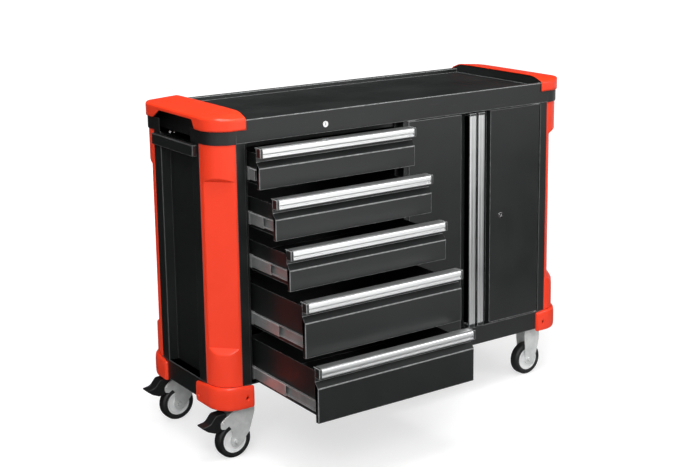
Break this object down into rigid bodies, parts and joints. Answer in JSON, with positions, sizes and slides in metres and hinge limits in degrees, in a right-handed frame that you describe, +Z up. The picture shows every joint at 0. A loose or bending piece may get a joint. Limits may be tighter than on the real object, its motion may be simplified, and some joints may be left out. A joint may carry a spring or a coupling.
{
  "type": "tool chest",
  "caption": "Wheeled tool chest and cart combo: pull-out drawers beside a hinged-door cupboard, tray worktop, side handle, corner guards, locks and braked swivel casters.",
  "frame": {"origin": "centre of the overall box on X and Y, on the floor under the wheels; the box is taken with the drawers open as stored", "axes": "+X along the front from the drawer side to the cupboard side, +Y from the front to the back, +Z up from the floor"},
  "size_m": [1.31, 0.7688, 0.981],
  "materials": {
    "black_steel": "black semi-gloss powder coat",
    "aluminium": "satin anodised",
    "zinc": "bright zinc plated",
    "red_plastic": "smooth satin red-orange moulding",
    "chrome": "polished",
    "black_plastic": "matt moulding",
    "tyre": "smooth black rubber",
    "grey_plastic": "light grey moulding"
  },
  "bodies": {
    "cabinet": {"side_panel_left": "black_steel", "side_panel_right": "black_steel", "back_panel": "black_steel", "cabinet_floor": "black_steel", "centre_divider": "black_steel", "top_rails": "black_steel", "drawer_bay_liners": "black_steel", "base_frame": "black_steel", "worktop": "black_steel", "end_caps": "red_plastic", "corner_bands": "black_steel", "corner_posts": "red_plastic", "corner_bumpers": "red_plastic", "screws": "zinc", "side_handle": "black_steel", "slide_outer_rails": "zinc", "cupboard_shelf": "black_steel", "hinge_brackets": "zinc", "fixed_casters": "zinc", "swivel_plates": "zinc"},
    "drawer_1": {"drawer_1_box": "black_steel", "drawer_1_rail": "aluminium", "drawer_1_runners": "zinc"},
    "slide_1": {"drawer_1_slide_middle": "zinc"},
    "drawer_2": {"drawer_2_box": "black_steel", "drawer_2_rail": "aluminium", "drawer_2_runners": "zinc"},
    "slide_2": {"drawer_2_slide_middle": "zinc"},
    "drawer_3": {"drawer_3_box": "black_steel", "drawer_3_rail": "aluminium", "drawer_3_runners": "zinc"},
    "slide_3": {"drawer_3_slide_middle": "zinc"},
    "drawer_4": {"drawer_4_box": "black_steel", "drawer_4_rail": "aluminium", "drawer_4_runners": "zinc"},
    "slide_4": {"drawer_4_slide_middle": "zinc"},
    "drawer_5": {"drawer_5_box": "black_steel", "drawer_5_rail": "aluminium", "drawer_5_runners": "zinc"},
    "slide_5": {"drawer_5_slide_middle": "zinc"},
    "left_door": {"left_door": "black_steel", "left_door_rail": "aluminium"},
    "right_door": {"right_door": "black_steel", "right_door_rail": "aluminium"},
    "drawer_lock": {"drawer_lock": "chrome"},
    "door_lock": {"door_lock": "chrome"},
    "lock_bar": {"lock_bar": "zinc"},
    "swivel_front": {"swivel_fork_front": "zinc"},
    "pedal_front": {"brake_pedal_front": "black_plastic"},
    "wheel_left_front": {"tyre_left_front": "tyre", "hub_left_front": "grey_plastic"},
    "wheel_right_front": {"tyre_right_front": "tyre", "hub_right_front": "grey_plastic"},
    "swivel_rear": {"swivel_fork_rear": "zinc"},
    "pedal_rear": {"brake_pedal_rear": "black_plastic"},
    "wheel_left_rear": {"tyre_left_rear": "tyre", "hub_left_rear": "grey_plastic"},
    "wheel_right_rear": {"tyre_right_rear": "tyre", "hub_right_rear": "grey_plastic"}
  },
  "joints": [
    {"name": "drawer_1_slide", "type": "slide", "parent": "cabinet", "child": "drawer_1", "axis": [0, -1, 0], "range_m": [-0.0582, 0.3118]},
    {"name": "slide_1_follow", "type": "slide", "parent": "cabinet", "child": "slide_1", "axis": [0, -1, 0], "range_m": [-0.0296, 0.1564]},
    {"name": "drawer_2_slide", "type": "slide", "parent": "cabinet", "child": "drawer_2", "axis": [0, -1, 0], "range_m": [-0.1355, 0.2345]},
    {"name": "slide_2_follow", "type": "slide", "parent": "cabinet", "child": "slide_2", "axis": [0, -1, 0], "range_m": [-0.06825, 0.11775]},
    {"name": "drawer_3_slide", "type": "slide", "parent": "cabinet", "child": "drawer_3", "axis": [0, -1, 0], "range_m": [-0.2004, 0.1696]},
    {"name": "slide_3_follow", "type": "slide", "parent": "cabinet", "child": "slide_3", "axis": [0, -1, 0], "range_m": [-0.1007, 0.0853]},
    {"name": "drawer_4_slide", "type": "slide", "parent": "cabinet", "child": "drawer_4", "axis": [0, -1, 0], "range_m": [-0.27, 0.1]},
    {"name": "slide_4_follow", "type": "slide", "parent": "cabinet", "child": "slide_4", "axis": [0, -1, 0], "range_m": [-0.1355, 0.0505]},
    {"name": "drawer_5_slide", "type": "slide", "parent": "cabinet", "child": "drawer_5", "axis": [0, -1, 0], "range_m": [-0.3252, 0.0448]},
    {"name": "slide_5_follow", "type": "slide", "parent": "cabinet", "child": "slide_5", "axis": [0, -1, 0], "range_m": [-0.1631, 0.0229]},
    {"name": "left_door_hinge", "type": "hinge", "parent": "cabinet", "child": "left_door", "pos_m": [0.0392, -0.0466, 0.557], "axis": [0, 0, -1], "range_deg": [0, 90]},
    {"name": "right_door_hinge", "type": "hinge", "parent": "cabinet", "child": "right_door", "pos_m": [0.541, -0.0466, 0.557], "axis": [0, 0, 1], "range_deg": [0, 90]},
    {"name": "drawer_lock_turn", "type": "hinge", "parent": "cabinet", "child": "drawer_lock", "pos_m": [-0.258, -0.0466, 0.9207], "axis": [0, 1, 0], "range_deg": [-1, 91]},
    {"name": "lock_bar_lift", "type": "slide", "parent": "cabinet", "child": "lock_bar", "axis": [0, 0, 1], "range_m": [0, 0.01]},
    {"name": "door_lock_turn", "type": "hinge", "parent": "right_door", "child": "door_lock", "pos_m": [0.3899, -0.0466, 0.5616], "axis": [0, -1, 0], "range_deg": [0, 90]},
    {"name": "swivel_front_turn", "type": "hinge", "parent": "cabinet", "child": "swivel_front", "pos_m": [-0.522, -0.0076, 0.145], "axis": [0, 0, 1], "continuous": true},
    {"name": "pedal_front_press", "type": "hinge", "parent": "swivel_front", "child": "pedal_front", "pos_m": [-0.593, -0.0076, 0.112], "axis": [0, -1, 0], "range_deg": [0, 14]},
    {"name": "wheel_left_front_spin", "type": "hinge", "parent": "swivel_front", "child": "wheel_left_front", "pos_m": [-0.555, -0.0076, 0.052], "axis": [0, 1, 0], "continuous": true},
    {"name": "wheel_right_front_spin", "type": "hinge", "parent": "cabinet", "child": "wheel_right_front", "pos_m": [0.539, -0.0076, 0.052], "axis": [0, 1, 0], "continuous": true},
    {"name": "swivel_rear_turn", "type": "hinge", "parent": "cabinet", "child": "swivel_rear", "pos_m": [-0.522, 0.3314, 0.145], "axis": [0, 0, 1], "continuous": true},
    {"name": "pedal_rear_press", "type": "hinge", "parent": "swivel_rear", "child": "pedal_rear", "pos_m": [-0.593, 0.3314, 0.112], "axis": [0, -1, 0], "range_deg": [0, 14]},
    {"name": "wheel_left_rear_spin", "type": "hinge", "parent": "swivel_rear", "child": "wheel_left_rear", "pos_m": [-0.555, 0.3314, 0.052], "axis": [0, 1, 0], "continuous": true},
    {"name": "wheel_right_rear_spin", "type": "hinge", "parent": "cabinet", "child": "wheel_right_rear", "pos_m": [0.539, 0.3314, 0.052], "axis": [0, 1, 0], "continuous": true}
  ],
  "couplings": [
    {"joint": "slide_1_follow", "follows": "drawer_1_slide", "ratio": 0.5},
    {"joint": "slide_2_follow", "follows": "drawer_2_slide", "ratio": 0.5},
    {"joint": "slide_3_follow", "follows": "drawer_3_slide", "ratio": 0.5},
    {"joint": "slide_4_follow", "follows": "drawer_4_slide", "ratio": 0.5},
    {"joint": "slide_5_follow", "follows": "drawer_5_slide", "ratio": 0.5},
    {"joint": "drawer_lock_turn", "follows": "lock_bar_lift", "rad_per_m": 157}
  ]
}
